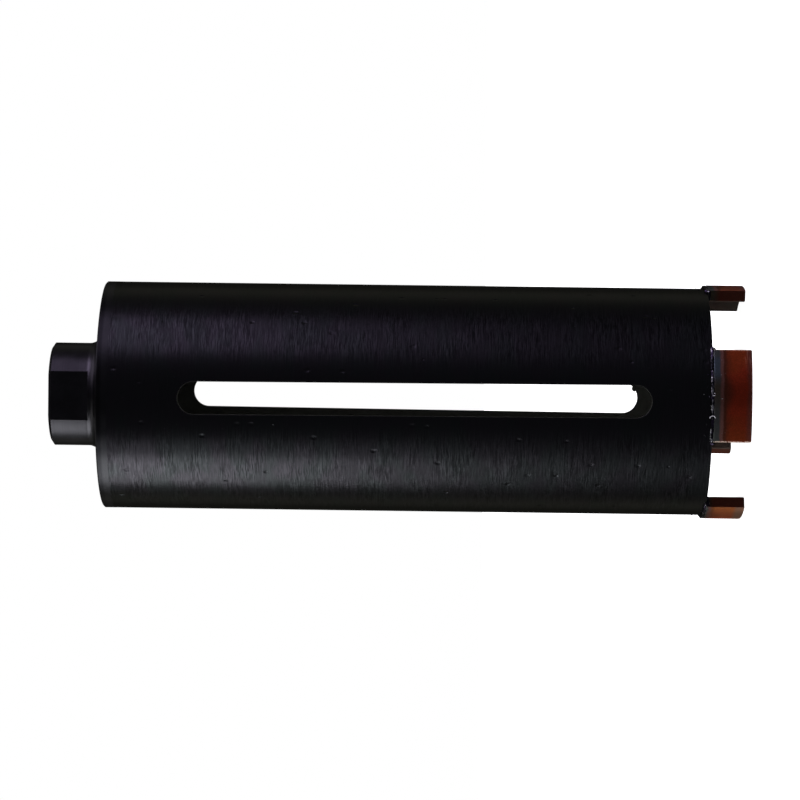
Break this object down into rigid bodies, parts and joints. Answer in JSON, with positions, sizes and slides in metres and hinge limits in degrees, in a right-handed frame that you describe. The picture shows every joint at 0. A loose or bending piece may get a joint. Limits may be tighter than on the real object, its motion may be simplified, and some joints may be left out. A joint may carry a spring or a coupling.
{
  "type": "diamond core bit",
  "caption": "Dry diamond core bit: slotted steel tube with sintered diamond segments welded to its rim, and a turned hub with wrench flats and a female spindle thread.",
  "frame": {"origin": "on the axis, at the middle of the bottom of the bounding box, level with the tips of the segments it stands on", "axes": "+Z along the axis from the crown to the spindle; -Y is the side with the first slot, segment and wrench flat"},
  "size_m": [0.0618, 0.0618, 0.1824],
  "materials": {
    "lacquer_black": "glossy black lacquer over a fine turned grain",
    "hub_black": "glossy black lacquer over smooth turned steel",
    "segment_sinter": "sintered metal with a thin red-brown dip coat, worn grey-brown at the tips",
    "weld_metal": "dark rough weld metal with bright specks"
  },
  "bodies": {
    "root": {"barrel_tube": "lacquer_black", "threaded_hub": "hub_black", "segment_1": "segment_sinter", "weld_bead_1": "weld_metal", "segment_2": "segment_sinter", "weld_bead_2": "weld_metal", "segment_3": "segment_sinter", "weld_bead_3": "weld_metal", "segment_4": "segment_sinter", "weld_bead_4": "weld_metal"}
  },
  "joints": []
}
